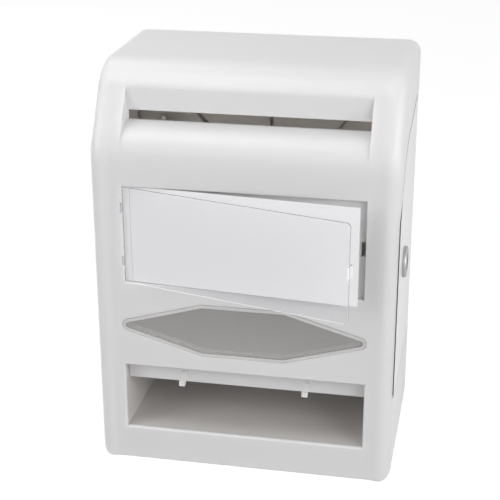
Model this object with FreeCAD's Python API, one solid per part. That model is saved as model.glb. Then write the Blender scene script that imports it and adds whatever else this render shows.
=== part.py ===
import FreeCAD, Part
import math
import os
from FreeCAD import Vector

# Locking suggestion and ballot box, in millimetres.
# X points right, Y to the rear and Z up. The origin is the middle of the housing's base.

# Housing
width = 240.0
depth = 146.0
height = 328.0
wall = 3.0
edge_round = 10.0
frame_width = 11.5
frame_step = 5.0
frame_rise = 1.0
lean_drop = 72.0
lean_angle = 30.0
lean_radius = 50.0
brow_radius = 35.0
brow_edge_round = 6.0

# Paper slot and the hollow that leads to it
hollow_margin = 25.0
slot_drop = 44.0
slot_gap = 8.0
slot_end_margin = 1.5
ramp_angle = 16.0
lip_radius = 24.0

# Label holder
label_margin = 25.4
label_drop = 90.6
label_gap = 14.5
label_depth = 5.0
label_edge_round = 0.8
cover_thick = 1.8
cover_clear = 0.5
cover_proud = 0.1
cover_ajar = 14.5
cover_corner = 3.0
tab_height = 7.6
tab_end_margin = 17.75
tab_pin_radius = 0.9
tab_pin_inset = 0.6
tab_clear = 0.3
snap_width = 3.6
snap_height = 12.0
snap_thick = 1.4
snap_clear = 0.7
card_thick = 0.6
card_left_margin = 6.1
card_right_gap = 0.5
card_edge_margin = 0.5
card_floor_gap = 0.8
card_ajar = 5.5

# View window
window_margin = 22.3
window_height = 44.6
window_gap = 13.6
window_flat = 66.0
window_tip_round = 5.0
window_ledge = 0.6
window_seat_width = 3.0
window_bead = 2.6
window_bead_proud = 0.6
window_field_sink = 0.9
window_clear = 0.25
window_skirt_thick = 1.2
window_skirt_depth = 3.0
catch_width = 6.0
catch_reach = 0.9
catch_spread = 50.0

# Card pocket
pocket_margin = 23.0
pocket_level = 28.8
pocket_height = 56.1
pocket_edge_round = 2.0
tray_thick = 2.0
tray_rear_gap = 18.7
tray_clear = 0.5
tray_rear_round = 14.0
tray_rib_spacing = 60.0
tray_rib_thick = 2.0

# Floor of the ballot bin
shelf_thick = 2.5
shelf_rise = 1.5
shelf_clear = 0.3
shelf_door_margin = 10.0
shelf_lip_setback = 11.0
shelf_lip_thick = 2.0
shelf_lip_drop = 17.4
shelf_ledge_width = 5.0
shelf_ledge_thick = 3.0

# Clear hooks above the pocket
hook_spacing = 100.0
hook_width = 5.0
hook_thick = 1.6
hook_plate_height = 9.0
hook_reach = 9.5
hook_fall = 6.0
hook_tip = 3.0
hook_peg_width = 3.0
hook_peg_height = 3.0
hook_peg_clear = 0.2
hook_barb = 0.8

# Back panel
panel_recess = 12.0
panel_thick = 3.0
panel_clear = 0.3
panel_rim = 2.5
rib_height = 6.0
rib_thick = 2.0
rib_shelf_gap = 6.0
rib_top_margin = 25.0
brace_foot = 97.0
brace_margin = 20.0
wall_hole_radius = 2.5
wall_boss_radius = 7.0
wall_hole_margin = 25.0
wall_hole_span_z = 145.0
wall_hole_level = 182.0
screw_radius = 1.5
screw_length = 12.0
screw_tip_room = 2.0
screw_head_radius = 3.4
screw_head_thick = 2.4
screw_clear = 0.2
boss_radius = 7.0
boss_inset = 6.8
boss_end = 3.0
boss_span = 140.0
tongue_span = 140.0
tongue_width = 20.0
tongue_height = 1.5
tongue_clear = 0.3

# Side door
door_front = 4.8
door_bottom = 73.5
door_shoulder_drop = 113.0
door_corner_radius = 62.0
door_rise = 9.3
door_gap = 2.0
hinge_land = 16.0
barrel_radius = 5.5
barrel_clear = 0.6
hinge_pin_radius = 2.0
hinge_pin_length = 21.0
hinge_pin_seat = 11.0
hinge_bore_extra = 1.0
hinge_boss_length = 13.0
hinge_push_fit = 0.02
hinge_running_fit = 0.05
jamb_overlap = 5.0
jamb_root = 4.0
jamb_thick = 3.0
jamb_clear = 0.3
jamb_front = 24.0
door_flange_gap = 2.0
door_flange_thick = 2.0
door_flange_depth = 6.0
door_flange_lift = 1.1

# Cam lock in the door
lock_setback = 47.0
lock_level = 173.0
lock_face_radius = 12.5
lock_face_thick = 3.2
lock_barrel_radius = 9.0
lock_barrel_length = 16.0
lock_flat = 8.0
lock_hole_clear = 0.2
lock_boss_radius = 15.0
lock_boss_thick = 3.5
plug_radius = 6.0
plug_running_fit = 0.05
keyway_width = 1.8
keyway_height = 8.0
keyway_depth = 14.0
wafer_count = 5
wafer_pitch = 2.3
wafer_thick = 1.0
wafer_width = 5.4
wafer_inset = 0.05
wafer_clear = 0.05
wafer_setback = 2.0
shank_side = 6.4
shank_clear = 0.05
turn_gap = 0.2
washer_radius = 9.0
washer_thick = 1.0
cam_thick = 2.0
cam_reach = 33.0
cam_width = 16.0
cam_tip_width = 11.0
cam_screw_radius = 2.0
cam_screw_length = 5.5
cam_screw_head_radius = 4.5
cam_screw_head_thick = 3.0
nut_across_flats = 24.0
nut_thick = 4.0
nut_clear = 1.0
keeper_catch = 10.0
keeper_gap = 0.8
keeper_height = 28.0
keeper_gusset_reach = 6.0
keeper_gusset_thick = 2.0

# Reach of a cutting shape past the face that it cuts, and the distance at which two places are one
over = 5.0
same = 0.001

# Places that several pieces share
side_face = width / 2
lean = math.radians(lean_angle)
lean_start = height - lean_drop
brow_level = height - brow_radius
brow_setback = lean_radius + (
    (brow_level - lean_start) * math.sin(lean) - lean_radius + brow_radius) / math.cos(lean)
slot_setback = brow_setback - brow_radius * math.cos(lean)
slot_level = height - slot_drop
hollow_half = side_face - hollow_margin
pocket_half = side_face - pocket_margin
pocket_top = pocket_level + pocket_height
window_level = pocket_top + window_gap + window_height / 2
window_half = side_face - window_margin
window_seat_depth = wall - window_ledge
label_level = window_level + window_height / 2 + label_gap
label_top = height - label_drop
label_middle = (label_level + label_top) / 2
label_half = side_face - label_margin
tray_inner = pocket_half + tray_clear
tray_floor = pocket_level - tray_clear
shelf_low = pocket_top + shelf_rise
shelf_top = shelf_low + shelf_thick
shelf_right = side_face - shelf_door_margin
panel_rear = depth - panel_recess
panel_front = panel_rear - panel_thick
tray_rear = panel_front - tray_rear_gap
screw_bore_end = panel_rear - screw_length - screw_tip_room
hinge_x = side_face - barrel_radius
hinge_setback = depth - barrel_radius
barrel_front = hinge_setback - barrel_radius
lock_barrel_end = side_face - lock_barrel_length
washer_face = lock_barrel_end - turn_gap
cam_face = washer_face - washer_thick
cam_back = cam_face - cam_thick
door_inside = side_face - wall
lock_boss_face = door_inside - lock_boss_thick


def point(x, setback, z):
    """Point at x to the right, setback behind the front face and z above the base."""
    return Vector(x, setback - depth / 2, z)


def block(x0, x1, setback0, setback1, z0, z1):
    return Part.makeBox(x1 - x0, setback1 - setback0, z1 - z0, point(x0, setback0, z0))


def rod(radius, start, end):
    axis = end - start
    return Part.makeCylinder(radius, axis.Length, start, axis)


def fuse(shapes):
    whole = shapes[0].fuse(shapes[1:])
    return whole.removeSplitter()


def outline(path):
    """Closed face from a list of points and of three-point arcs, each starting where the last ended."""
    edges = []
    here = path[0]
    for step in path[1:] + [path[0]]:
        if isinstance(step, tuple):
            edges.append(Part.Arc(here, step[0], step[1]).toShape())
            here = step[1]
        else:
            edges.append(Part.LineSegment(here, step).toShape())
            here = step
    return Part.Face(Part.Wire(edges))


def turned(centre, radius, angle):
    """Point of a circle seen from the side: angle 0 is at its front and 90 degrees at its top."""
    return point(0, centre[0] - radius * math.cos(angle), centre[1] + radius * math.sin(angle))


def side_arc(centre, radius, start, end):
    return (turned(centre, radius, (start + end) / 2), turned(centre, radius, end))


def across(face, x0, x1):
    """Solid of a side-view face, from x0 to x1."""
    moved = face.translated(Vector(x0, 0, 0))
    return moved.extrude(Vector(x1 - x0, 0, 0))


def edges_in(shape, low, high):
    """Edges of a shape that lie wholly between two corner points."""
    margin = Vector(same, same, same)
    room = FreeCAD.BoundBox(low - margin, high + margin)
    return [edge for edge in shape.Edges if room.isInside(edge.BoundBox)]


# Housing

def side_section(inset, rear, forward):
    """Side view of the housing, moved inwards by inset, with its front moved forward."""
    lean_centre = (lean_radius - forward, lean_start)
    brow_centre = (brow_setback - forward, brow_level)
    lean_arc = lean_radius - inset
    brow_arc = brow_radius - inset
    return outline([
        point(0, inset - forward, inset),
        turned(lean_centre, lean_arc, 0),
        side_arc(lean_centre, lean_arc, 0, lean),
        turned(brow_centre, brow_arc, lean),
        side_arc(brow_centre, brow_arc, lean, math.pi / 2),
        point(0, rear, height - inset),
        point(0, rear, inset),
    ])


def long_edges(form, rear):
    """Edges along both sides of a housing form, apart from those at its rear."""
    rear_y = point(0, rear, 0).y
    found = []
    for edge in form.Edges:
        on_side = edge.BoundBox.XLength < same
        on_rear = edge.BoundBox.YMin > rear_y - same
        if on_side and not on_rear:
            found.append(edge)
    return found


def housing_form(inset, rear, forward=0.0):
    """Rounded form of the housing, moved inwards by inset, with its front moved forward."""
    half = side_face - inset
    form = across(side_section(inset, rear, forward), -half, half)
    return form.makeFillet(edge_round - inset, long_edges(form, rear))


def outer_form():
    """Outside of the housing, with side frames that stand forward of the front by a sloping step."""
    frame_half = side_face - frame_width
    front_half = frame_half - frame_step
    front = side_section(0, depth, 0)
    keep = [across(front, -front_half, front_half)]
    raised = side_section(0, depth, frame_rise)
    for side in (-1, 1):
        low = front.translated(Vector(side * front_half, 0, 0))
        high = raised.translated(Vector(side * frame_half, 0, 0))
        keep.append(Part.makeLoft([low.OuterWire, high.OuterWire], True, True))
    room = block(-frame_half, frame_half, -over, brow_setback, 0, height + over)
    return housing_form(0, depth, frame_rise).cut(room.cut(keep))


def cavity_form():
    """Space inside the housing, with flat corners that keep the wall's thickness."""
    rear = depth + over
    half = side_face - wall
    form = across(side_section(wall, rear, 0), -half, half)
    corner = (edge_round - wall) * (2 - math.sqrt(2))
    return form.makeChamfer(corner, long_edges(form, rear))


def slot_hollow(inset, half):
    """Space in front of the paper slot, grown by inset into the wall that lines it."""
    ramp = math.radians(ramp_angle)
    lip_level = slot_level + (math.sin(ramp) * (lip_radius - slot_setback) - lip_radius) / math.cos(ramp)
    lip_centre = (lip_radius, lip_level)
    lip_arc = lip_radius - inset
    lip_end = math.pi / 2 - ramp
    rear = slot_setback + inset
    ramp_end = slot_level + (math.sin(ramp) * inset - inset) / math.cos(ramp)
    round_radius = brow_edge_round - inset
    round_setback = slot_setback + brow_edge_round
    drop = brow_radius - brow_edge_round
    round_level = brow_level + math.sqrt(drop ** 2 - (brow_setback - round_setback) ** 2)
    round_centre = (round_setback, round_level)
    round_end = math.atan2(round_level - brow_level, brow_setback - round_setback)
    crown = turned(round_centre, round_radius, round_end)
    face = outline([
        point(0, -over, lip_level),
        turned(lip_centre, lip_arc, 0),
        side_arc(lip_centre, lip_arc, 0, lip_end),
        point(0, rear, ramp_end),
        turned(round_centre, round_radius, 0),
        side_arc(round_centre, round_radius, 0, round_end),
        Vector(0, point(0, -over, 0).y, crown.z),
    ])
    return across(face, -half, half)


def label_recess(grow):
    return block(-label_half - grow, label_half + grow, -over, label_depth + grow,
                 label_level - grow, label_top + grow)


def window_form(inset, front, rear):
    """Plate with the window's six-sided outline, moved inwards by inset."""
    half_height = window_height / 2
    tip = window_half - window_tip_round
    run = tip - window_flat / 2
    slope = math.acos(window_tip_round / math.hypot(run, half_height)) - math.atan2(run, half_height)
    tip_arc = window_tip_round - inset
    rise = half_height - inset
    corner = tip + (tip_arc - rise * math.cos(slope)) / math.sin(slope)
    side_x = tip + tip_arc * math.sin(slope)
    side_z = tip_arc * math.cos(slope)

    def at(x, z):
        return point(x, front, window_level + z)

    face = outline([
        at(-corner, -rise),
        at(corner, -rise),
        at(side_x, -side_z),
        (at(tip + tip_arc, 0), at(side_x, side_z)),
        at(corner, rise),
        at(-corner, rise),
        at(-side_x, side_z),
        (at(-tip - tip_arc, 0), at(-side_x, -side_z)),
    ])
    return face.extrude(Vector(0, rear - front, 0))


def door_form(inset, bottom, rear, x0, x1):
    """Slab with the door's outline; inset moves its front and top edges inwards."""
    rise = math.radians(door_rise)
    centre = (door_front + door_corner_radius, height - door_shoulder_drop)
    arc = door_corner_radius - inset
    arc_end = math.pi / 2 - rise
    land = depth - hinge_land
    top = (centre[1] * math.cos(rise) - centre[0] * math.sin(rise) + door_corner_radius
           + land * math.sin(rise)) / math.cos(rise)
    level = top - inset
    knee = ((level - centre[1]) * math.cos(rise) - arc) / math.sin(rise) + centre[0]
    face = outline([
        point(0, door_front + inset, bottom),
        turned(centre, arc, 0),
        side_arc(centre, arc, 0, arc_end),
        point(0, knee, level),
        point(0, rear, level),
        point(0, rear, bottom),
    ])
    return across(face, x0, x1)


def door_top(inset):
    """Level of the door's upper edge above its hinge."""
    slab = door_form(inset, door_bottom, depth, 0, wall)
    return slab.BoundBox.ZMax


def panel_screw_places():
    """Middle of each screw at the foot of the back panel, as x and z."""
    return [(side * boss_span / 2, wall + boss_inset) for side in (-1, 1)]


def panel_tongues(grow):
    """Tongues on the back panel's top edge, or with grow the slots for them in the top wall."""
    half = tongue_width / 2 + grow
    low = height - wall - panel_clear - panel_rim
    high = height - wall + tongue_height + grow
    return [block(x - half, x + half, panel_front - grow, panel_rear + grow, low, high)
            for x in (-tongue_span / 2, tongue_span / 2)]


def cover_tab_levels():
    return (label_level + tab_end_margin, label_top - tab_end_margin)


def front_shell():
    """Moulded housing: front, top, left side and base, and the right side round the door."""
    cavity = cavity_form().cut(slot_hollow(wall, hollow_half + wall))
    cavity = cavity.cut(label_recess(wall))
    shell = outer_form().cut(cavity)
    shell = shell.cut(slot_hollow(0, hollow_half))
    slot_half = hollow_half - slot_end_margin
    slot = block(-slot_half, slot_half, slot_setback - over, slot_setback + wall + over,
                 slot_level, slot_level + slot_gap)
    pocket = block(-pocket_half, pocket_half, -over, wall + over, pocket_level, pocket_top)
    shell = shell.cut([slot, label_recess(0), pocket])

    pocket_rim = edges_in(shell, point(-pocket_half, 0, pocket_level), point(pocket_half, 0, pocket_top))
    shell = shell.makeFillet(pocket_edge_round, pocket_rim)
    label_rim = edges_in(shell, point(-label_half, 0, label_level), point(label_half, 0, label_top))
    shell = shell.makeFillet(label_edge_round, label_rim)

    seat = window_form(-window_clear, -over, window_seat_depth)
    opening = window_form(window_seat_width, -over, wall + over)
    snap_hole = block(label_half - snap_width, label_half, label_depth - over, label_depth + wall + over,
                      label_middle - snap_height / 2, label_middle + snap_height / 2)
    cuts = [seat, opening, snap_hole]
    notch_reach = tab_pin_inset + tab_pin_radius + tab_clear
    notch_depth = cover_proud + cover_thick / 2 + tab_pin_radius + tab_clear
    notch_half = tab_height / 2 + tab_clear
    for level in cover_tab_levels():
        cuts.append(block(-label_half - notch_reach, over - label_half, -over, notch_depth,
                          level - notch_half, level + notch_half))
    cuts.append(door_form(0, door_bottom, depth + over, hinge_x - barrel_radius - over, side_face + over))
    shell = shell.cut(cuts)

    shell = fuse([shell] + door_jamb() + hinge_bosses() + [cam_keeper()] + tray_ribs() + [shelf_ledge()]
                 + panel_bosses())
    bores = []
    for level in (door_bottom - hinge_boss_length - over, door_top(0) - over):
        bores.append(rod(hinge_pin_radius + hinge_push_fit, point(hinge_x, hinge_setback, level),
                         point(hinge_x, hinge_setback, level + hinge_boss_length + 2 * over)))
    for x, z in panel_screw_places():
        bores.append(rod(screw_radius, point(x, screw_bore_end, z), point(x, panel_front + over, z)))
    return shell.cut(bores + panel_tongues(tongue_clear))


def door_jamb():
    """Ledges that the closed door lies against, along its top and bottom."""
    rear = barrel_front - barrel_clear
    inner_face = door_inside - jamb_clear
    deep = inner_face - jamb_thick
    outer = door_form(-jamb_root, door_bottom - jamb_root, rear, deep, inner_face)
    under_door = door_form(jamb_overlap, door_bottom + jamb_overlap, rear + over, deep - over, side_face)
    root = door_form(-jamb_root, door_bottom - jamb_root, rear, inner_face, door_inside + wall / 2)
    opening = door_form(0, door_bottom, rear + over, deep - over, side_face)
    room = block(deep, side_face, jamb_front, rear, 0, height)
    ledges = outer.cut(under_door).common(room)
    roots = root.cut(opening).common(room)
    return ledges.Solids + roots.Solids


def hinge_bosses():
    """Round lugs above and below the door that carry its pins."""
    bosses = []
    for level in (door_bottom - hinge_boss_length, door_top(0)):
        bosses.append(rod(barrel_radius, point(hinge_x, hinge_setback, level),
                          point(hinge_x, hinge_setback, level + hinge_boss_length)))
    return bosses


def cam_keeper():
    """Plate behind the front wall, for the cam to turn behind, with two gussets towards the door."""
    near = cam_face + keeper_gap
    reach = lock_setback - cam_reach + keeper_catch
    low = lock_level - keeper_height / 2
    high = lock_level + keeper_height / 2
    pieces = [block(near, near + wall, wall / 2, reach, low, high)]
    for z in (low, high - keeper_gusset_thick):
        pieces.append(block(near, near + wall + keeper_gusset_reach, wall / 2, wall + keeper_gusset_reach,
                            z, z + keeper_gusset_thick))
    return fuse(pieces)


def tray_ribs():
    """Ribs on the base that carry the card tray."""
    ribs = []
    for step in (-1, 0, 1):
        x = step * tray_rib_spacing
        ribs.append(block(x - tray_rib_thick / 2, x + tray_rib_thick / 2, wall / 2, tray_rear,
                          wall / 2, tray_floor - tray_thick))
    return ribs


def shelf_ledge():
    """Ledge on the left side that carries the bin floor."""
    return block(wall / 2 - side_face, wall + shelf_ledge_width - side_face, edge_round, tray_rear,
                 shelf_low - shelf_ledge_thick, shelf_low)


def panel_bosses():
    """Round bosses for the screws of the back panel, joined to the nearest wall."""
    bosses = []
    for x, z in panel_screw_places():
        bosses.append(rod(boss_radius, point(x, screw_bore_end - boss_end, z), point(x, panel_front, z)))
    room = housing_form(wall / 2, depth)
    return [boss.common(room) for boss in bosses]


def back_panel():
    """Dished rear panel with top tongues, a rim to the wall, ribs inside and four wall holes."""
    inset = wall + panel_clear
    rear_room = block(-width, width, panel_front, depth, 0, height)
    panel = housing_form(inset, depth).common(rear_room)
    door_clear = hinge_x - barrel_radius - barrel_clear
    notch_low = door_bottom - hinge_boss_length - barrel_clear
    notch_high = door_top(0) + hinge_boss_length + barrel_clear
    dish = housing_form(inset + panel_rim, depth + over)
    dish = dish.common(block(-width, width, panel_rear, depth + over, 0, height))
    dish = dish.cut(block(door_clear - panel_rim, width, 0, depth + over,
                          notch_low - panel_rim, notch_high + panel_rim))
    notch = block(door_clear, width, 0, depth + over, notch_low, notch_high)
    panel = panel.cut([dish, notch])

    rib_front = panel_front - rib_height
    rib_low = shelf_top + rib_shelf_gap
    rib_high = height - rib_top_margin
    added = panel_tongues(0)
    added.append(block(-rib_thick / 2, rib_thick / 2, rib_front, panel_front, rib_low, rib_high))
    for side in (-1, 1):
        added.append(brace(side, rib_front, rib_low + brace_foot, rib_high))
    for x, z in wall_hole_places():
        added.append(rod(wall_boss_radius, point(x, panel_rear, z), point(x, depth, z)))
    panel = fuse([panel] + added)

    holes = []
    for x, z in wall_hole_places():
        holes.append(rod(wall_hole_radius, point(x, panel_front - over, z), point(x, depth + over, z)))
    for x, z in panel_screw_places():
        holes.append(rod(screw_radius + screw_clear, point(x, panel_front - over, z),
                         point(x, panel_rear + over, z)))
        holes.append(rod(screw_head_radius + screw_clear, point(x, panel_rear, z),
                         point(x, depth + over, z)))
    return panel.cut(holes).removeSplitter()


def brace(side, front, low, high):
    """Slanted rib from the middle rib to an upper corner."""
    half = rib_thick / 2
    reach = side_face - brace_margin
    face = outline([
        point(0, front, low - half),
        point(side * reach, front, high - half),
        point(side * reach, front, high + half),
        point(0, front, low + half),
    ])
    return face.extrude(Vector(0, panel_front - front, 0))


def wall_hole_places():
    half_x = side_face - wall_hole_margin
    half_z = wall_hole_span_z / 2
    return [(x, wall_hole_level + z) for x in (-half_x, half_x) for z in (-half_z, half_z)]


def back_panel_screws():
    screws = []
    for x, z in panel_screw_places():
        shank = rod(screw_radius, point(x, panel_rear - screw_length, z), point(x, panel_rear, z))
        head = rod(screw_head_radius, point(x, panel_rear, z), point(x, panel_rear + screw_head_thick, z))
        screws.append(fuse([shank, head]))
    return Part.makeCompound(screws)


# Card pocket and bin floor

def card_tray():
    """Open-fronted liner of the pocket, with a rounded rise at its rear."""
    outer_half = tray_inner + tray_thick
    front = wall + shelf_clear
    tray = block(-outer_half, outer_half, front, tray_rear, tray_floor - tray_thick, shelf_low)
    inside = block(-tray_inner, tray_inner, -over, tray_rear - tray_thick, tray_floor, shelf_low + over)
    rear_low = edges_in(inside, point(-tray_inner, tray_rear - tray_thick, tray_floor),
                        point(tray_inner, tray_rear - tray_thick, tray_floor))
    inside = inside.makeFillet(tray_rear_round, rear_low)
    return tray.cut(inside)


def divider_shelf():
    """Floor of the bin, with a lip turned down behind the pocket's mouth."""
    room = housing_form(wall + shelf_clear, depth)
    plate = block(-side_face, shelf_right, 0, panel_front - shelf_clear, shelf_low, shelf_top)
    plate = plate.common(room)
    lip_half = tray_inner - shelf_clear
    lip_rear = shelf_lip_setback + shelf_lip_thick
    lip = block(-lip_half, lip_half, shelf_lip_setback, lip_rear, shelf_low - shelf_lip_drop, shelf_low)
    shelf = fuse([plate, lip])
    holes = []
    for x in hook_places():
        holes.append(hook_peg(x, hook_peg_clear, over))
    return shelf.cut(holes)


def hook_places():
    return (-hook_spacing / 2, hook_spacing / 2)


def hook_peg(x, grow, extra):
    """Peg of a hook through the lip, or with grow and extra the hole for it."""
    half = hook_peg_width / 2 + grow
    middle = shelf_low - hook_plate_height / 2
    rise = hook_peg_height / 2 + grow
    return block(x - half, x + half, shelf_lip_setback - extra,
                 shelf_lip_setback + shelf_lip_thick + extra, middle - rise, middle + rise)


def card_hooks():
    """Clear hooks pegged through the lip, each with a sloping arm and a turned-up tip."""
    hooks = []
    for x in hook_places():
        face_rear = shelf_lip_setback
        face_front = face_rear - hook_thick
        high = shelf_low - hook_thick
        low = shelf_low - hook_plate_height
        tip_front = face_front - hook_reach
        tip_low = low - hook_fall
        side = outline([
            point(0, face_rear, high),
            point(0, face_rear, low - hook_thick),
            point(0, tip_front, tip_low - hook_thick),
            point(0, tip_front, tip_low + hook_tip),
            point(0, tip_front + hook_thick, tip_low + hook_tip),
            point(0, tip_front + hook_thick, tip_low + hook_thick / 2),
            point(0, face_front, low),
            point(0, face_front, high),
        ])
        body = across(side, x - hook_width / 2, x + hook_width / 2)
        peg = hook_peg(x, 0, 0)
        lip_rear = shelf_lip_setback + shelf_lip_thick
        middle = shelf_low - hook_plate_height / 2
        barb_half = hook_peg_width / 2 + hook_barb
        barb = block(x - barb_half, x + barb_half, lip_rear, lip_rear + hook_thick,
                     middle - hook_peg_height / 2, middle + hook_peg_height / 2)
        hooks.append(fuse([body, peg, barb]))
    return Part.makeCompound(hooks)


# View window

def smoked_window():
    """Tinted lens with a raised bead, a skirt through the opening and catches behind the wall."""
    plate = window_form(0, -window_bead_proud, window_seat_depth)
    sink = window_form(window_bead, -over, window_field_sink)
    skirt_outer = window_seat_width + window_clear
    skirt_rear = wall + window_skirt_depth
    skirt = window_form(skirt_outer, window_seat_depth, skirt_rear)
    hollow = window_form(skirt_outer + window_skirt_thick, window_seat_depth, skirt_rear + over)
    lens = fuse([plate.cut(sink), skirt.cut(hollow)] + window_catches(skirt_outer, skirt_rear))
    return lens


def window_catches(skirt_outer, skirt_rear):
    """Small catches on the skirt, along its lower and upper edges, that grip behind the wall."""
    catches = []
    grown = window_form(skirt_outer - catch_reach - window_clear, wall + window_clear, skirt_rear)
    ring = grown.cut(window_form(skirt_outer + window_skirt_thick, 0, skirt_rear + over))
    for x in (-catch_spread, 0, catch_spread):
        lane = block(x - catch_width / 2, x + catch_width / 2, 0, skirt_rear + over,
                     window_level - window_height, window_level + window_height)
        catches.extend(ring.common(lane).Solids)
    return catches


# Label holder

def cover_axis():
    return point(-label_half - tab_pin_inset, cover_proud + cover_thick / 2, label_middle)


def label_cover():
    """Clear cover, hinged by two tabs at its left edge and held shut by a snap at its right edge."""
    left = cover_clear - label_half
    right = label_half - cover_clear
    low = label_level + cover_clear
    high = label_top - cover_clear
    front = cover_proud
    rear = cover_proud + cover_thick
    plate = block(left, right, front, rear, low, high)
    corners = edges_in(plate, point(right, front, low), point(right, rear, high))
    corners = [edge for edge in corners if edge.BoundBox.YLength > cover_thick / 2]
    plate = plate.makeFillet(cover_corner, corners)
    axis = cover_axis()
    pieces = [plate]
    for level in cover_tab_levels():
        z0 = level - tab_height / 2
        z1 = level + tab_height / 2
        pieces.append(block(axis.x, left + over, front, rear, z0, z1))
        pieces.append(rod(tab_pin_radius, Vector(axis.x, axis.y, z0), Vector(axis.x, axis.y, z1)))
    snap_right = label_half - snap_clear
    snap_half = snap_height / 2 - snap_clear
    pieces.append(block(snap_right - snap_thick, snap_right, rear - cover_thick / 2, label_depth + wall,
                        label_middle - snap_half, label_middle + snap_half))
    cover = fuse(pieces)
    cover.rotate(axis, Vector(0, 0, -1), cover_ajar)
    return cover


def card_axis():
    card_rear = label_depth - card_floor_gap
    return point(card_left_margin - label_half, card_rear - card_thick / 2, label_middle)


def label_card():
    """Plain card that lies in the holder behind the cover."""
    rear = label_depth - card_floor_gap
    right = label_half - snap_clear - snap_thick - card_right_gap
    card = block(card_left_margin - label_half, right, rear - card_thick, rear,
                 label_level + card_edge_margin, label_top - card_edge_margin)
    card.rotate(card_axis(), Vector(0, 0, -1), card_ajar)
    return card


# Side door and its hinge

def lock_point(x, up=0.0):
    return point(x, lock_setback, lock_level + up)


def side_door():
    """Moulded door with the housing's rounding, a rolled hinge edge, a flange and a lock boss."""
    low = door_bottom + door_gap
    plate = door_form(door_gap, low, hinge_setback, door_inside, side_face)
    plate = plate.common(housing_form(0, depth, frame_rise))
    high = door_top(door_gap)
    barrel = rod(barrel_radius, point(hinge_x, hinge_setback, low), point(hinge_x, hinge_setback, high))
    flange_x = door_inside - door_flange_depth
    flange_inset = jamb_overlap + door_flange_gap
    flange_low = max(shelf_top, door_bottom + jamb_overlap) + door_flange_lift
    flange_rear = barrel_front - jamb_root
    flange = door_form(flange_inset, flange_low, flange_rear, flange_x, door_inside + wall / 2)
    flange = flange.cut(door_form(flange_inset + door_flange_thick, flange_low + door_flange_thick,
                                  flange_rear + over, flange_x - over, side_face))
    boss = rod(lock_boss_radius, lock_point(lock_boss_face), lock_point(side_face - wall / 2))
    door = fuse([plate, barrel, flange, boss])
    bore_radius = hinge_pin_radius + hinge_running_fit
    bore_length = hinge_pin_length - hinge_pin_seat + hinge_bore_extra
    nut_room = nut_across_flats / math.sqrt(3) + nut_clear
    bores = [
        rod(nut_room, lock_point(flange_x - over), lock_point(lock_boss_face)),
        rod(bore_radius, point(hinge_x, hinge_setback, low - over),
            point(hinge_x, hinge_setback, low - door_gap + bore_length)),
        rod(bore_radius, point(hinge_x, hinge_setback, high + door_gap - bore_length),
            point(hinge_x, hinge_setback, high + over)),
        flatted_rod(lock_hole_clear, lock_boss_face - over, side_face + over),
    ]
    return door.cut(bores)


def flatted_rod(grow, x0, x1):
    """Round bar of the lock's body with two flats, grown by a clearance."""
    bar = rod(lock_barrel_radius + grow, lock_point(x0), lock_point(x1))
    flats = block(x0, x1, lock_setback - 2 * lock_barrel_radius, lock_setback + 2 * lock_barrel_radius,
                  lock_level - lock_flat - grow, lock_level + lock_flat + grow)
    return bar.common(flats)


def door_hinge_pins():
    pins = []
    for level in (door_bottom - hinge_pin_seat, door_top(0) + hinge_pin_seat - hinge_pin_length):
        pins.append(rod(hinge_pin_radius, point(hinge_x, hinge_setback, level),
                        point(hinge_x, hinge_setback, level + hinge_pin_length)))
    return Part.makeCompound(pins)


# Cam lock

def square_bar(side, x0, x1):
    half = side / 2
    return block(x0, x1, lock_setback - half, lock_setback + half, lock_level - half, lock_level + half)


def lock_housing():
    """Lock body with a round face on the door and a flatted barrel through it."""
    face = rod(lock_face_radius, lock_point(side_face), lock_point(side_face + lock_face_thick))
    body = fuse([face, flatted_rod(0, lock_barrel_end, side_face)])
    bore = rod(plug_radius + plug_running_fit, lock_point(lock_barrel_end - over),
               lock_point(side_face + lock_face_thick + over))
    return body.cut(bore)


def wafer_places():
    first = side_face + lock_face_thick - wafer_setback - wafer_thick
    return [first - step * wafer_pitch for step in range(wafer_count)]


def keyway():
    face = side_face + lock_face_thick
    return block(face - keyway_depth, face + over, lock_setback - keyway_width / 2,
                 lock_setback + keyway_width / 2, lock_level - keyway_height / 2,
                 lock_level + keyway_height / 2)


def wafer(x, grow):
    half_width = wafer_width / 2 + grow
    half_height = math.sqrt((plug_radius - wafer_inset) ** 2 - (wafer_width / 2) ** 2) + grow
    return block(x - grow, x + wafer_thick + grow, lock_setback - half_width, lock_setback + half_width,
                 lock_level - half_height, lock_level + half_height)


def lock_plug():
    """Turning core with its keyway, wafer slots, square shank and screw hole."""
    core = rod(plug_radius, lock_point(lock_barrel_end), lock_point(side_face + lock_face_thick))
    core = fuse([core, square_bar(shank_side, cam_back, lock_barrel_end)])
    cuts = [wafer(x, wafer_clear) for x in wafer_places()]
    cuts.append(keyway())
    cuts.append(rod(cam_screw_radius, lock_point(cam_back - over), lock_point(cam_back + cam_screw_length)))
    return core.cut(cuts)


def lock_wafers():
    return Part.makeCompound([wafer(x, 0).cut(keyway()) for x in wafer_places()])


def lock_stop_washer():
    disc = rod(washer_radius, lock_point(cam_face), lock_point(washer_face))
    return disc.cut(square_bar(shank_side + 2 * shank_clear, cam_face - over, washer_face + over))


def lock_cam():
    """Flat cam on the plug's shank, pointing up while the lock is open."""
    hub = rod(cam_width / 2, lock_point(cam_back), lock_point(cam_face))
    tip_half = cam_tip_width / 2
    hub_half = cam_width / 2
    tip_level = lock_level + cam_reach - tip_half
    arm = outline([
        point(cam_back, lock_setback - hub_half, lock_level),
        point(cam_back, lock_setback + hub_half, lock_level),
        point(cam_back, lock_setback + tip_half, tip_level),
        (point(cam_back, lock_setback, lock_level + cam_reach),
         point(cam_back, lock_setback - tip_half, tip_level)),
    ])
    cam = fuse([hub, arm.extrude(Vector(cam_thick, 0, 0))])
    return cam.cut(square_bar(shank_side + 2 * shank_clear, cam_back - over, cam_face + over))


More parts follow.
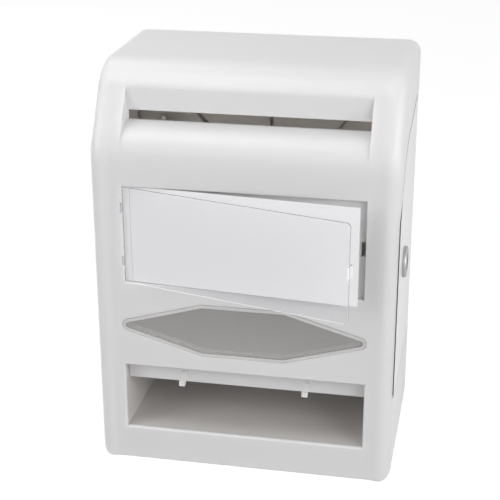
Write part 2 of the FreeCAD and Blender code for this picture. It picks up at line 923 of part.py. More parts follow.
def lock_cam_screw():
    head = rod(cam_screw_head_radius, lock_point(cam_back - cam_screw_head_thick), lock_point(cam_back))
    shank = rod(cam_screw_radius, lock_point(cam_back), lock_point(cam_back + cam_screw_length))
    return fuse([head, shank])


def lock_nut():
    """Hexagon nut that clamps the lock body in the door."""
    radius = nut_across_flats / math.sqrt(3)
    x0 = lock_boss_face - nut_thick
    corners = []
    for step in range(6):
        angle = math.radians(60 * step)
        corners.append(point(x0, lock_setback + radius * math.cos(angle),
                             lock_level + radius * math.sin(angle)))
    nut = outline(corners).extrude(Vector(nut_thick, 0, 0))
    return nut.cut(rod(lock_barrel_radius, lock_point(x0 - over), lock_point(lock_boss_face + over)))


pieces = {
    "front_shell": front_shell(),
    "back_panel": back_panel(),
    "back_panel_screws": back_panel_screws(),
    "card_tray": card_tray(),
    "divider_shelf": divider_shelf(),
    "card_hooks": card_hooks(),
    "smoked_window": smoked_window(),
    "label_card": label_card(),
    "label_cover": label_cover(),
    "side_door": side_door(),
    "door_hinge_pins": door_hinge_pins(),
    "lock_housing": lock_housing(),
    "lock_nut": lock_nut(),
    "lock_plug": lock_plug(),
    "lock_wafers": lock_wafers(),
    "lock_stop_washer": lock_stop_washer(),
    "lock_cam": lock_cam(),
    "lock_cam_screw": lock_cam_screw(),
}

os.makedirs("parts", exist_ok=True)
for name, shape in pieces.items():
    shape.exportStep("parts/" + name + ".step")
    print(name, len(shape.Solids), shape.isValid(), round(shape.Volume))
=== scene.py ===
import math

import bmesh
import bpy
from mathutils import Matrix, Vector


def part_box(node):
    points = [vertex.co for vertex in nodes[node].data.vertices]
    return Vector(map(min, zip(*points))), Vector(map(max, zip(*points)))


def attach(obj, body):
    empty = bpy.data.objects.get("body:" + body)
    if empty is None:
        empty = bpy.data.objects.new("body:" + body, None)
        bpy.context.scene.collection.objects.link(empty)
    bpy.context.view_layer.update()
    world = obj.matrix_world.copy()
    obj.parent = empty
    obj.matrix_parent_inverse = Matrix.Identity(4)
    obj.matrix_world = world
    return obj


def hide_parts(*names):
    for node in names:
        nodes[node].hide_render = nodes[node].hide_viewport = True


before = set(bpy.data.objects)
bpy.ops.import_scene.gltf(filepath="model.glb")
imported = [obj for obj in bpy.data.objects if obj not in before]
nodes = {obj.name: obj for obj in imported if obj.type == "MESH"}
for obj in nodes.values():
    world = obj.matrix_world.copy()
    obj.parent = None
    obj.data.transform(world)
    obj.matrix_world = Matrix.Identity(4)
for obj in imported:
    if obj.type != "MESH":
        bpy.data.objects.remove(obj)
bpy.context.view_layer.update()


# Front shell: the white housing, one ABS moulding with the brow, the paper slot and the side walls.
# It comes from the mould with a fine satin grain and soft edges, and everything else is fixed into it.

far = 1.0


def merged_copy(node):
    """A node's shape as one closed mesh, with each flat face whole."""
    same_place = 1e-6
    same_plane = math.radians(0.2)
    shape = bmesh.new()
    shape.from_mesh(nodes[node].data)
    bmesh.ops.remove_doubles(shape, verts=shape.verts, dist=same_place)
    bmesh.ops.dissolve_limit(shape, angle_limit=same_plane, verts=shape.verts, edges=shape.edges)
    return shape


def within(point, low, high):
    """Whether a point lies between two corner points."""
    return all(low[i] <= point[i] <= high[i] for i in range(3))


def sharp_edges(shape, least_turn=50, low=(-far, -far, -far), high=(far, far, far)):
    """Edges between two corner points whose faces turn by more than least_turn degrees."""
    return [edge for edge in shape.edges
            if len(edge.link_faces) == 2
            and edge.calc_face_angle(0.0) > math.radians(least_turn)
            and all(within(vert.co, low, high) for vert in edge.verts)]


def soften(shape, edges, radius, steps=2):
    """Rounds the given edges of a shape."""
    bmesh.ops.bevel(shape, geom=edges, offset=radius, offset_type="OFFSET", affect="EDGES",
                    segments=steps, profile=0.5, clamp_overlap=True, material=-1)


def place(name, shape, materials, body, slot, *stands_for):
    """Makes a finished piece of a shape, in its materials, on its body, in the place of CAD nodes."""
    crease = math.radians(35)
    for face in shape.faces:
        face.smooth = True
    for edge in shape.edges:
        edge.smooth = edge.calc_face_angle(0.0) < crease
    mesh = bpy.data.meshes.new(name)
    shape.to_mesh(mesh)
    shape.free()
    for material in materials:
        mesh.materials.append(material)
    piece = bpy.data.objects.new(name, mesh)
    bpy.context.scene.collection.objects.link(piece)
    even = piece.modifiers.new("even_normals", "WEIGHTED_NORMAL")
    even.keep_sharp = True
    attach(piece, body)
    if stands_for:
        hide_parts(*stands_for)


def moulded_plastic(name, pale, shade, smooth, rough):
    """Opaque moulded plastic: a faint drift of colour, and a fine grain that breaks up the gloss."""
    material = bpy.data.materials.new(name)
    material.use_nodes = True
    tree = material.node_tree
    surface = tree.nodes["Principled BSDF"]
    surface.inputs["IOR"].default_value = 1.54
    where = tree.nodes.new("ShaderNodeTexCoord")

    drift = tree.nodes.new("ShaderNodeTexNoise")
    drift.inputs["Scale"].default_value = 14.0
    drift.inputs["Detail"].default_value = 3.0
    colours = tree.nodes.new("ShaderNodeValToRGB")
    colours.color_ramp.elements[0].position = 0.3
    colours.color_ramp.elements[0].color = (*shade, 1.0)
    colours.color_ramp.elements[1].position = 0.7
    colours.color_ramp.elements[1].color = (*pale, 1.0)
    tree.links.new(where.outputs["Object"], drift.inputs["Vector"])
    tree.links.new(drift.outputs["Fac"], colours.inputs["Fac"])
    tree.links.new(colours.outputs["Color"], surface.inputs["Base Color"])

    grain = tree.nodes.new("ShaderNodeTexNoise")
    grain.inputs["Scale"].default_value = 1500.0
    grain.inputs["Detail"].default_value = 2.0
    gloss = tree.nodes.new("ShaderNodeMapRange")
    gloss.inputs["To Min"].default_value = smooth
    gloss.inputs["To Max"].default_value = rough
    relief = tree.nodes.new("ShaderNodeBump")
    relief.inputs["Distance"].default_value = 0.00001
    tree.links.new(where.outputs["Object"], grain.inputs["Vector"])
    tree.links.new(grain.outputs["Fac"], gloss.inputs["Value"])
    tree.links.new(gloss.outputs["Result"], surface.inputs["Roughness"])
    tree.links.new(grain.outputs["Fac"], relief.inputs["Height"])
    tree.links.new(relief.outputs["Normal"], surface.inputs["Normal"])
    return material


def let_light_through(material, weight, reach, tint=(1.0, 0.93, 0.86)):
    """Lets some light pass through a thin wall of plastic and warms it a little."""
    surface = material.node_tree.nodes["Principled BSDF"]
    surface.inputs["Subsurface Weight"].default_value = weight
    surface.inputs["Subsurface Radius"].default_value = tint
    surface.inputs["Subsurface Scale"].default_value = reach


housing_white = moulded_plastic("housing_white", pale=(0.80, 0.785, 0.785), shade=(0.785, 0.768, 0.766),
                                smooth=0.34, rough=0.44)
let_light_through(housing_white, weight=0.5, reach=0.01)
shell = merged_copy("front_shell")
shell_low, shell_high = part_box("front_shell")

# The soft steps between the middle of the front and the side frames.
step_inner = 0.1030
step_outer = 0.1090
step_foot = 0.001
step_rear = 0.02
for side in (-1, 1):
    near_x, far_x = sorted((side * step_inner, side * step_outer))
    step_edges = sharp_edges(shell, least_turn=5, low=(near_x, -far, step_foot), high=(far_x, step_rear, far))
    soften(shell, step_edges, radius=0.0014, steps=3)

# The edges of the hollow under the brow, which leads into the paper slot.
hollow_side = 0.0955
hollow_foot = 0.262
hollow_head = 0.313
hollow_rear = -0.0485
hollow_edges = sharp_edges(shell, least_turn=20, low=(-hollow_side, -far, hollow_foot),
                           high=(hollow_side, hollow_rear, hollow_head))
soften(shell, hollow_edges, radius=0.0008, steps=3)

# The edges of the door's opening, of the rear and of the foot.
edge_band = 0.0001
door_side = shell_high.x - 0.0014
opening_front = -0.07
opening_rear = 0.06
opening_foot = 0.07
opening_head = 0.3
opening_edges = sharp_edges(shell, low=(door_side, opening_front, opening_foot),
                            high=(far, opening_rear, opening_head))
soften(shell, opening_edges, radius=0.0003)
rear_y = shell_high.y - edge_band
soften(shell, sharp_edges(shell, low=(-far, rear_y, -far)), radius=0.0005)
soften(shell, sharp_edges(shell, high=(far, far, shell_low.z + edge_band)), radius=0.0006)

# The narrow faces in the door's seam and round the window, where little light gets in, are painted dark grey
# as painted shade.
painted_seam_shade = moulded_plastic("painted_seam_shade", pale=(0.12, 0.112, 0.108), shade=(0.10, 0.092, 0.088),
                            smooth=0.6, rough=0.8)
seam_low = (0.1135, opening_front, 0.073)
seam_high = (far, -0.03, 0.277)
window_low, window_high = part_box("smoked_window")
seat_gap = 0.0006
seat_rear = -0.069
seat_low = (window_low.x - seat_gap, -far, window_low.z - seat_gap)
seat_high = (window_high.x + seat_gap, seat_rear, window_high.z + seat_gap)
for face in shell.faces:
    middle = face.calc_center_median()
    turned_back = face.normal.y > 0.1 and abs(face.normal.x) < 0.2
    turned_across = abs(face.normal.y) < 0.5
    beside_door = turned_back and within(middle, seam_low, seam_high)
    round_window = turned_across and within(middle, seat_low, seat_high)
    if beside_door or round_window:
        face.material_index = 1
place("housing_shell", shell, [housing_white, painted_seam_shade], "housing", "housing_plastic", "front_shell")


# Card tray: the open-fronted liner of the pocket, a white ABS moulding with a rounded rise at its rear.
# It lies on three ribs of the housing's base, with its front edge behind the pocket's mouth.

def eased_copy(node, radius, least_turn=50):
    """A node's shape with all its sharp edges rounded a little."""
    shape = merged_copy(node)
    soften(shape, sharp_edges(shape, least_turn), radius)
    return shape


tray = eased_copy("card_tray", radius=0.0004)
# The tray's white is painted a darker warm grey than the housing's, as painted shade for the inside of the
# pocket.
tray_painted_shade = moulded_plastic("tray_painted_shade", pale=(0.62, 0.60, 0.585), shade=(0.60, 0.58, 0.565),
                             smooth=0.5, rough=0.6)
place("card_tray_liner", tray, [tray_painted_shade], "housing", "housing_plastic", "card_tray")


# Divider shelf: the floor of the ballot bin, a white ABS plate with a stiff lip turned down at its front.
# It rests on the tray and on a ledge of the left wall, and the lip shows above the pocket.

shelf = eased_copy("divider_shelf", radius=0.0003)
place("bin_floor", shelf, [housing_white], "housing", "housing_plastic", "divider_shelf")


# Card hooks: two small hooks of clear styrene, each pegged through the shelf's lip and held by its barbs.
# They keep the cards in the pocket from falling forward.

def clear_plastic(name, tint, clearness, smooth, rough):
    """See-through plastic with a faint uneven haze, which lets the lamps' light pass."""
    material = bpy.data.materials.new(name)
    material.use_nodes = True
    tree = material.node_tree
    surface = tree.nodes["Principled BSDF"]
    surface.inputs["Base Color"].default_value = (*tint, 1.0)
    surface.inputs["Transmission Weight"].default_value = clearness
    surface.inputs["IOR"].default_value = 1.49
    where = tree.nodes.new("ShaderNodeTexCoord")
    haze = tree.nodes.new("ShaderNodeTexNoise")
    haze.inputs["Scale"].default_value = 60.0
    gloss = tree.nodes.new("ShaderNodeMapRange")
    gloss.inputs["To Min"].default_value = smooth
    gloss.inputs["To Max"].default_value = rough
    tree.links.new(where.outputs["Object"], haze.inputs["Vector"])
    tree.links.new(haze.outputs["Fac"], gloss.inputs["Value"])
    tree.links.new(gloss.outputs["Result"], surface.inputs["Roughness"])

    path = tree.nodes.new("ShaderNodeLightPath")
    straight = tree.nodes.new("ShaderNodeMath")
    straight.operation = "MAXIMUM"
    open_way = tree.nodes.new("ShaderNodeBsdfTransparent")
    open_way.inputs["Color"].default_value = (0.93, 0.93, 0.93, 1.0)
    choose = tree.nodes.new("ShaderNodeMixShader")
    tree.links.new(path.outputs["Is Shadow Ray"], straight.inputs[0])
    tree.links.new(path.outputs["Is Diffuse Ray"], straight.inputs[1])
    tree.links.new(straight.outputs["Value"], choose.inputs["Fac"])
    tree.links.new(surface.outputs["BSDF"], choose.inputs[1])
    tree.links.new(open_way.outputs["BSDF"], choose.inputs[2])
    tree.links.new(choose.outputs["Shader"], tree.nodes["Material Output"].inputs["Surface"])
    return material


hooks = eased_copy("card_hooks", radius=0.0003, least_turn=40)
frosted = clear_plastic("frosted_styrene", (0.88, 0.88, 0.88), clearness=0.6, smooth=0.15, rough=0.25)
place("clear_hooks", hooks, [frosted], "housing", "clear_plastic", "card_hooks")


# Smoked window: a lens of grey tinted acrylic with a raised bead, through which the ballots can be seen.
# It is pressed into its seat from the front, and the catches on its skirt grip behind the wall.

smoke = clear_plastic("smoked_acrylic", (0.62, 0.6, 0.595), clearness=0.7, smooth=0.06, rough=0.14)
bead_painted_highlight = clear_plastic("painted_highlight_acrylic", (0.86, 0.85, 0.845), clearness=0.45, smooth=0.1, rough=0.2)
window = merged_copy("smoked_window")
bead_rear = -0.0725
bead_front = -0.0732
skirt_front = -0.0702
bead_edges = sharp_edges(window, least_turn=40, high=(far, bead_rear, far))
soften(window, bead_edges, radius=0.0004, steps=3)
# The bead's front and the skirt with its catches are painted paler than the smoke, as painted highlight.
for face in window.faces:
    middle = face.calc_center_median()
    if middle.y < bead_front or middle.y > skirt_front:
        face.material_index = 1
place("window_lens", window, [smoke, bead_painted_highlight], "housing", "smoked_plastic", "smoked_window")


# Label card: a plain stiff white card, cut to the label holder and slipped in behind the cover.
# It is creased near its left end, which stays in the holder, so its free end tips forward with the cover.

card_white = moulded_plastic("card_white", pale=(0.94, 0.935, 0.955), shade=(0.93, 0.925, 0.945),
                             smooth=0.7, rough=0.85)
cut_round = 0.00012
card = eased_copy("label_card", cut_round, least_turn=40)
place("bare_card", card, [card_white], "card", "white_card", "label_card")

card_low, card_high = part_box("label_card")
end_width = 0.0054
crease_gap = 0.0002
stock = 0.0006
end_size = Vector((end_width, stock, card_high.z - card_low.z))
end_middle = Vector((card_low.x - crease_gap - end_width / 2, card_high.y - stock / 2,
                     (card_low.z + card_high.z) / 2))
held_end = bmesh.new()
bmesh.ops.create_cube(held_end, size=1.0)
bmesh.ops.scale(held_end, vec=end_size, verts=held_end.verts)
bmesh.ops.translate(held_end, vec=end_middle, verts=held_end.verts)
soften(held_end, held_end.edges[:], cut_round)
place("card_held_end", held_end, [card_white], "housing", "white_card")


# Label cover: a thin clear styrene cover that turns on two tabs at its left edge.
# The bent snap at its right edge holds it shut in a hole of the label holder.

clear = clear_plastic("clear_styrene", (0.95, 0.95, 0.965), clearness=1.0, smooth=0.0, rough=0.02)
cut_edge = clear_plastic("cut_styrene_edge", (0.8, 0.8, 0.81), clearness=0.5, smooth=0.2, rough=0.3)
cover_painted_highlight_edge = clear_plastic("painted_highlight_styrene_edge", (0.97, 0.97, 0.98), clearness=0.05, smooth=0.3, rough=0.4)
cover = eased_copy("label_cover", radius=0.0003, least_turn=40)
ajar = math.radians(14.5)
cover_facing = Vector((-math.sin(ajar), -math.cos(ajar), 0.0))
sheet = max(cover.faces, key=lambda face: face.calc_area())
sheet_level = sheet.calc_center_median().dot(cover_facing)
side_edge_depth = 0.0016
lower_edge_depth = 0.0021
# The cut edges are frosted, and the lower edge is painted nearly opaque white as a painted highlight.
for face in cover.faces:
    depth = abs(face.calc_center_median().dot(cover_facing) - sheet_level)
    turned_down = face.normal.z < -0.3
    turned_aside = abs(face.normal.dot(cover_facing)) < 0.6
    if turned_down and depth < lower_edge_depth:
        face.material_index = 2
    elif turned_aside and depth < side_edge_depth:
        face.material_index = 1
place("clear_cover", cover, [clear, cut_edge, cover_painted_highlight_edge], "cover", "clear_plastic", "label_cover")


# Back panel: the ribbed white ABS rear, hooked into the top wall by two tongues and screwed at its foot.
# Its rim stands back to the wall, with four bosses for the wall screws, and near its top light comes through.

panel = merged_copy("back_panel")
soften(panel, sharp_edges(panel, low=(-far, rear_y, -far)), radius=0.0004)
panel_white = moulded_plastic("panel_white", pale=(0.80, 0.78, 0.77), shade=(0.785, 0.765, 0.755),
                              smooth=0.48, rough=0.58)
let_light_through(panel_white, weight=0.0, reach=0.012, tint=(1.0, 0.9, 0.8))
panel_tree = panel_white.node_tree
panel_surface = panel_tree.nodes["Principled BSDF"]
panel_where = panel_tree.nodes.new("ShaderNodeTexCoord")
panel_axes = panel_tree.nodes.new("ShaderNodeSeparateXYZ")
thin_top = panel_tree.nodes.new("ShaderNodeMapRange")
thin_top.inputs["From Min"].default_value = 0.18
thin_top.inputs["From Max"].default_value = 0.23
thin_top.inputs["To Min"].default_value = 0.0
thin_top.inputs["To Max"].default_value = 0.8
panel_tree.links.new(panel_where.outputs["Object"], panel_axes.inputs["Vector"])
panel_tree.links.new(panel_axes.outputs["Z"], thin_top.inputs["Value"])
panel_tree.links.new(thin_top.outputs["Result"], panel_surface.inputs["Subsurface Weight"])
place("ribbed_back", panel, [panel_white], "housing", "housing_plastic", "back_panel")


# Back panel screws: two pan head screws of zinc plated steel with a cross recess.
# They go through the foot of the back panel into bosses of the housing's base.

def metal(name, colour, smooth, rough):
    """Bare or plated metal with a gloss that varies a little from wear."""
    material = bpy.data.materials.new(name)
    material.use_nodes = True
    tree = material.node_tree
    surface = tree.nodes["Principled BSDF"]
    surface.inputs["Base Color"].default_value = (*colour, 1.0)
    surface.inputs["Metallic"].default_value = 1.0
    where = tree.nodes.new("ShaderNodeTexCoord")
    wear = tree.nodes.new("ShaderNodeTexNoise")
    wear.inputs["Scale"].default_value = 400.0
    gloss = tree.nodes.new("ShaderNodeMapRange")
    gloss.inputs["To Min"].default_value = smooth
    gloss.inputs["To Max"].default_value = rough
    tree.links.new(where.outputs["Object"], wear.inputs["Vector"])
    tree.links.new(wear.outputs["Fac"], gloss.inputs["Value"])
    tree.links.new(gloss.outputs["Result"], surface.inputs["Roughness"])
    return material


def turned(profile, steps, closed=False):
    """A shape turned about the Z axis from a profile of places along the axis and radii."""
    same_place = 1e-7
    shape = bmesh.new()
    path = [shape.verts.new((radius, 0.0, along)) for along, radius in profile]
    lines = [shape.edges.new(pair) for pair in zip(path, path[1:])]
    if closed:
        lines.append(shape.edges.new((path[-1], path[0])))
    bmesh.ops.spin(shape, geom=path + lines, cent=(0, 0, 0), axis=(0, 0, 1), dvec=(0, 0, 0),
                   angle=2 * math.pi, steps=steps, use_merge=True, use_duplicate=False)
    bmesh.ops.remove_doubles(shape, verts=shape.verts, dist=same_place)
    return shape


def screw_into(shape, seat, axis, profile, arm, half, sink):
    """Adds a screw to a shape. The profile runs from the tip to the rim of the head's flat end, and
    arm, half and sink are the reach, the half width and the depth of the cross recess."""
    fresh = turned(profile, steps=40)
    rim = [edge for edge in fresh.edges if edge.is_boundary]
    end = profile[-1][0]
    cross = [(half, half), (half, arm), (-half, arm), (-half, half), (-arm, half), (-arm, -half),
             (-half, -half), (-half, -arm), (half, -arm), (half, -half), (arm, -half), (arm, half)]
    upper = [fresh.verts.new((x, y, end)) for x, y in cross]
    mouth = [fresh.edges.new((upper[i - 1], upper[i])) for i in range(len(upper))]
    sunk = bmesh.ops.extrude_edge_only(fresh, edges=mouth)["geom"]
    floor_verts = [item for item in sunk if isinstance(item, bmesh.types.BMVert)]
    floor_edges = [item for item in sunk if isinstance(item, bmesh.types.BMEdge)
                   and all(vert in floor_verts for vert in item.verts)]
    floor_share = 0.8
    bmesh.ops.scale(fresh, vec=(floor_share, floor_share, 1.0), verts=floor_verts)
    bmesh.ops.translate(fresh, vec=(0.0, 0.0, -sink), verts=floor_verts)
    bmesh.ops.edgeloop_fill(fresh, edges=floor_edges)
    bmesh.ops.triangle_fill(fresh, use_beauty=True, edges=rim + mouth)
    bmesh.ops.recalc_face_normals(fresh, faces=fresh.faces)
    upright = Vector((0, 0, 1)).rotation_difference(Vector(axis)).to_matrix().to_4x4()
    bmesh.ops.transform(fresh, matrix=Matrix.Translation(seat) @ upright, verts=fresh.verts)
    part = bpy.data.meshes.new("screw")
    fresh.to_mesh(part)
    fresh.free()
    shape.from_mesh(part)
    bpy.data.meshes.remove(part)


zinc = metal("zinc_plate", (0.6, 0.6, 0.6), smooth=0.25, rough=0.45)
screws = bmesh.new()
screw_low, screw_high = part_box("back_panel_screws")
head_radius = 0.0034
head_seat = 0.061
panel_screw = [(-0.0119, 0.0), (-0.0095, 0.0014), (0.0, 0.0014), (0.0, 0.0032), (0.0002, 0.00335),
               (0.0014, 0.00335), (0.0020, 0.0030), (0.0023, 0.0024)]
for side_x in (screw_low.x + head_radius, screw_high.x - head_radius):
    seat = Vector((side_x, head_seat, (screw_low.z + screw_high.z) / 2))
    screw_into(screws, seat, (0, 1, 0), panel_screw, arm=0.0017, half=0.0004, sink=0.0014)
place("panel_screws", screws, [zinc], "housing", "plated_steel", "back_panel_screws")


# Side door: a white ABS moulding, a little glossier than the housing, with the rolled edge that it turns on.
# It lies flush in the housing's side, and a flange inside keeps it stiff.

door_white = moulded_plastic("door_white", pale=(0.82, 0.815, 0.82), shade=(0.805, 0.80, 0.80),
                             smooth=0.32, rough=0.42)
let_light_through(door_white, weight=0.3, reach=0.008)
door = merged_copy("side_door")
lock_low, lock_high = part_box("lock_housing")
lock_middle = (lock_low + lock_high) / 2
lock_hole_reach = 0.014
door_foot = 0.08
door_edges = sharp_edges(door, low=(door_side, -far, opening_foot), high=(far, opening_rear, far))
door_rim = [edge for edge in door_edges
            if (edge.verts[0].co - lock_middle).yz.length > lock_hole_reach
            and max(vert.co.z for vert in edge.verts) > door_foot]
soften(door, door_rim, radius=0.0007)
rim_side = 0.1165
# The door's rim faces that look forward into the seam are painted dark grey, as painted shade.
for face in door.faces:
    turned_forward = face.normal.y < -0.1 and abs(face.normal.x) < 0.97
    if turned_forward and face.calc_center_median().x > rim_side:
        face.material_index = 1
place("locking_door", door, [door_white, painted_seam_shade], "door", "door_plastic", "side_door")


# Door hinge pins: two short pins of zinc plated steel with rounded ends.
# They are pressed into the housing's lugs above and below the door, and its rolled edge turns on them.

pins = eased_copy("door_hinge_pins", radius=0.0003)
place("hinge_pins", pins, [zinc], "housing", "plated_steel", "door_hinge_pins")


# Lock housing: the chrome plated zinc body of the cam lock, cast with a round face and a threaded barrel.
# Two flats on the barrel keep it from turning in the door, and the nut inside clamps it.

chrome = metal("chrome_plate", (0.42, 0.415, 0.41), smooth=0.34, rough=0.48)
# Zinc worn dull, and painted darker than bare zinc as painted shade.
dull_zinc_painted_shade = metal("dull_zinc_painted_shade", (0.16, 0.16, 0.16), smooth=0.5, rough=0.7)
door_face = 0.120

bore = 0.00606
crest = 0.00895
root = 0.00835
pitch = 0.0013
body_profile = [(lock_low.x, bore), (lock_low.x, root)]
along = lock_low.x + pitch / 2
while along < door_face - 2 * pitch:
    body_profile += [(along, crest), (along + pitch / 2, root)]
    along += pitch

face_seat = door_face + 0.00002
face_radius = 0.01248
seat_radius = 0.0122
seat_bevel = 0.0004
body_profile += [(face_seat, root), (face_seat, seat_radius), (door_face + seat_bevel, face_radius)]
rim_round = 0.0014
rim_steps = 5
for step in range(rim_steps + 1):
    angle = math.radians(90 * step / rim_steps)
    body_profile.append((lock_high.x - rim_round + rim_round * math.sin(angle),
                         face_radius - rim_round + rim_round * math.cos(angle)))
mouth_radius = 0.0072
dish_radius = 0.0066
dish = lock_high.x - 0.0007
body_profile += [(lock_high.x, mouth_radius), (dish, dish_radius), (dish, bore)]

lock_body = turned(body_profile, steps=64, closed=True)
across_door = Matrix(((0, 0, 1, 0), (1, 0, 0, lock_middle.y), (0, 1, 0, lock_middle.z), (0, 0, 0, 1)))
bmesh.ops.transform(lock_body, matrix=across_door, verts=lock_body.verts)
flat = 0.008
for vert in lock_body.verts:
    if vert.co.x < door_face:
        vert.co.z = min(max(vert.co.z, lock_middle.z - flat), lock_middle.z + flat)
bmesh.ops.recalc_face_normals(lock_body, faces=lock_body.faces)
# The dish round the plug in the body's chrome face is painted in the dark zinc, as painted shade.
for face in lock_body.faces:
    middle = face.calc_center_median()
    if middle.x > door_face and (middle - lock_middle).yz.length < mouth_radius:
        face.material_index = 1
place("lock_body", lock_body, [chrome, dull_zinc_painted_shade], "door", "chromed_lock", "lock_housing")


# Lock nut: the hexagon nut of zinc plated steel on the lock's threaded barrel.
# It is tightened against the inside of the door and clamps the lock's body in it.

nut = eased_copy("lock_nut", radius=0.0003)
place("lock_clamp_nut", nut, [zinc], "door", "plated_steel", "lock_nut")


# Lock plug: the turning core, cast in zinc, with the keyway in its face, which keys have worn dull.
# It turns in the body's bore, and its square shank carries the washer and the cam.

# The plug's zinc is worn dull, and painted darker than bare zinc as painted shade.
plug = merged_copy("lock_plug")
plug_face = lock_high.x - 0.0005
soften(plug, sharp_edges(plug, low=(plug_face, -far, -far)), radius=0.0003)
place("lock_core_plug", plug, [dull_zinc_painted_shade], "lock_core", "chromed_lock", "lock_plug")


# Lock wafers: five thin wafers stamped from brass, in slots across the plug.
# They slide in the slots, and a key draws them level with the plug so that it can turn.

brass = metal("wafer_brass", (0.75, 0.6, 0.3), smooth=0.25, rough=0.4)
nodes["lock_wafers"].data.materials.clear()
nodes["lock_wafers"].data.materials.append(brass)


# Stop washer and cam: punched from zinc plated steel, with square holes that turn with the plug's shank.
# The cam goes behind the housing's keeper when the lock is shut.

washer = eased_copy("lock_stop_washer", radius=0.00015)
place("stop_washer", washer, [zinc], "lock_core", "plated_steel", "lock_stop_washer")
cam = eased_copy("lock_cam", radius=0.00025)
place("locking_cam", cam, [zinc], "lock_core", "plated_steel", "lock_cam")


# Cam screw: a pan head screw of zinc plated steel with a cross recess.
# It is turned into the end of the plug's shank and holds the washer and the cam on it.

cam_fastener = bmesh.new()
cam_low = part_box("lock_cam")[0]
cam_seat = Vector((cam_low.x, lock_middle.y, lock_middle.z))
cam_screw = [(-0.0054, 0.0), (-0.0048, 0.0019), (0.0, 0.0019), (0.0, 0.0043), (0.0002, 0.00445),
             (0.0018, 0.00445), (0.0026, 0.0040), (0.0029, 0.0032)]
screw_into(cam_fastener, cam_seat, (-1, 0, 0), cam_screw, arm=0.0023, half=0.0005, sink=0.0017)
place("cam_retaining_screw", cam_fastener, [zinc], "lock_core", "plated_steel", "lock_cam_screw")


# Studio: a pale floor and a white surround, with large soft lamps on both sides, above and behind.
# The camera looks from the photograph's side, a little from the right and from above.

def shown_white(tree, strength):
    """Share of plain white in what shows to the camera, in metal and through clear plastic."""
    path = tree.nodes.new("ShaderNodeLightPath")
    mirrored = tree.nodes.new("ShaderNodeMath")
    mirrored.operation = "MAXIMUM"
    tree.links.new(path.outputs["Is Camera Ray"], mirrored.inputs[0])
    tree.links.new(path.outputs["Is Glossy Ray"], mirrored.inputs[1])
    seen = tree.nodes.new("ShaderNodeMath")
    seen.operation = "MAXIMUM"
    tree.links.new(mirrored.outputs["Value"], seen.inputs[0])
    tree.links.new(path.outputs["Is Transmission Ray"], seen.inputs[1])
    share = tree.nodes.new("ShaderNodeMath")
    share.operation = "MULTIPLY"
    share.inputs[1].default_value = strength
    tree.links.new(seen.outputs["Value"], share.inputs[0])
    return share.outputs["Value"]


floor_shape = bmesh.new()
bmesh.ops.create_grid(floor_shape, x_segments=1, y_segments=1, size=4.0)
floor_mesh = bpy.data.meshes.new("floor")
floor_shape.to_mesh(floor_mesh)
floor_shape.free()
floor = bpy.data.objects.new("floor", floor_mesh)
bpy.context.scene.collection.objects.link(floor)
floor_pale = bpy.data.materials.new("floor_pale")
floor_pale.use_nodes = True
floor_tree = floor_pale.node_tree
floor_tree.nodes.remove(floor_tree.nodes["Principled BSDF"])
floor_lit = floor_tree.nodes.new("ShaderNodeBsdfDiffuse")
floor_lit.inputs["Color"].default_value = (0.6, 0.6, 0.6, 1.0)
floor_glow = floor_tree.nodes.new("ShaderNodeEmission")
floor_glow.inputs["Strength"].default_value = 1.22
floor_mix = floor_tree.nodes.new("ShaderNodeMixShader")
floor_tree.links.new(shown_white(floor_tree, strength=0.76), floor_mix.inputs["Fac"])
floor_tree.links.new(floor_lit.outputs["BSDF"], floor_mix.inputs[1])
floor_tree.links.new(floor_glow.outputs["Emission"], floor_mix.inputs[2])
floor_tree.links.new(floor_mix.outputs["Shader"], floor_tree.nodes["Material Output"].inputs["Surface"])
floor_mesh.materials.append(floor_pale)

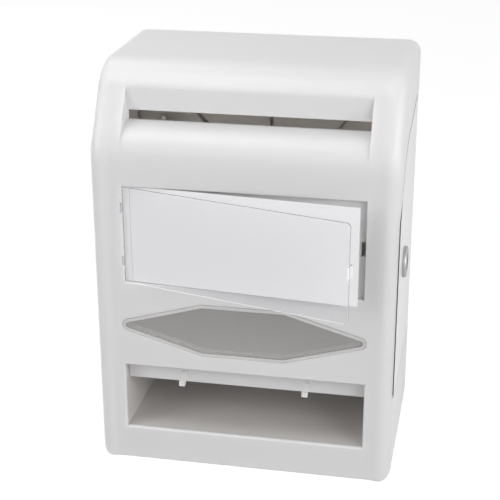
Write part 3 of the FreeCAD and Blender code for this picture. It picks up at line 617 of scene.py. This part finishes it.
world = bpy.data.worlds.new("surround")
bpy.context.scene.world = world
world.use_nodes = True
world_tree = world.node_tree
dim = world_tree.nodes["Background"]
dim.inputs["Color"].default_value = (1.0, 1.0, 1.0, 1.0)
dim.inputs["Strength"].default_value = 0.21
bright = world_tree.nodes.new("ShaderNodeBackground")
bright.inputs["Color"].default_value = (1.0, 1.0, 1.0, 1.0)
world_mix = world_tree.nodes.new("ShaderNodeMixShader")
world_tree.links.new(shown_white(world_tree, strength=1.0), world_mix.inputs["Fac"])
world_tree.links.new(dim.outputs["Background"], world_mix.inputs[1])
world_tree.links.new(bright.outputs["Background"], world_mix.inputs[2])
world_tree.links.new(world_mix.outputs["Shader"], world_tree.nodes["World Output"].inputs["Surface"])


def softbox(name, stand, across, tall, power):
    """A rectangular lamp that stands at a place and is turned to the middle of the box."""
    box_middle = Vector((0.0, 0.0, 0.18))
    lamp = bpy.data.lights.new(name, "AREA")
    lamp.shape = "RECTANGLE"
    lamp.size = across
    lamp.size_y = tall
    lamp.energy = power
    holder = bpy.data.objects.new(name, lamp)
    bpy.context.scene.collection.objects.link(holder)
    holder.location = stand
    holder.rotation_euler = (Vector(stand) - box_middle).to_track_quat("Z", "Y").to_euler()


softbox("left_softbox", (-1.3, -1.1, 0.8), across=0.8, tall=1.2, power=10.4)
softbox("right_softbox", (1.5, -0.5, 0.55), across=0.8, tall=1.4, power=10.2)
softbox("right_front_softbox", (1.1, -1.2, 0.9), across=0.8, tall=0.8, power=9.4)
softbox("over_softbox", (-0.38, -0.38, 1.35), across=0.6, tall=0.6, power=4.6)
softbox("brow_softbox", (-0.45, 0.35, 1.25), across=0.3, tall=0.3, power=1.6)
softbox("rear_softbox", (-1.4, 1.3, 0.2), across=0.8, tall=0.4, power=12.0)

camera_lens = bpy.data.cameras.new("photo_camera")
camera_lens.sensor_width = 36.0
camera_lens.lens = 91.78
camera = bpy.data.objects.new("photo_camera", camera_lens)
bpy.context.scene.collection.objects.link(camera)
aim = Vector((0.0062, -0.073, 0.1926))
azimuth = math.radians(11.13)
elevation = math.radians(21.71)
roll = math.radians(-0.11)
distance = 0.9744
backwards = Vector((math.sin(azimuth) * math.cos(elevation), -math.cos(azimuth) * math.cos(elevation),
                    math.sin(elevation)))
camera.location = aim + backwards * distance
turn = backwards.to_track_quat("Z", "Y").to_matrix() @ Matrix.Rotation(roll, 3, "Z")
camera.rotation_euler = turn.to_euler()
bpy.context.scene.camera = camera
bpy.context.scene.view_settings.view_transform = "Standard"
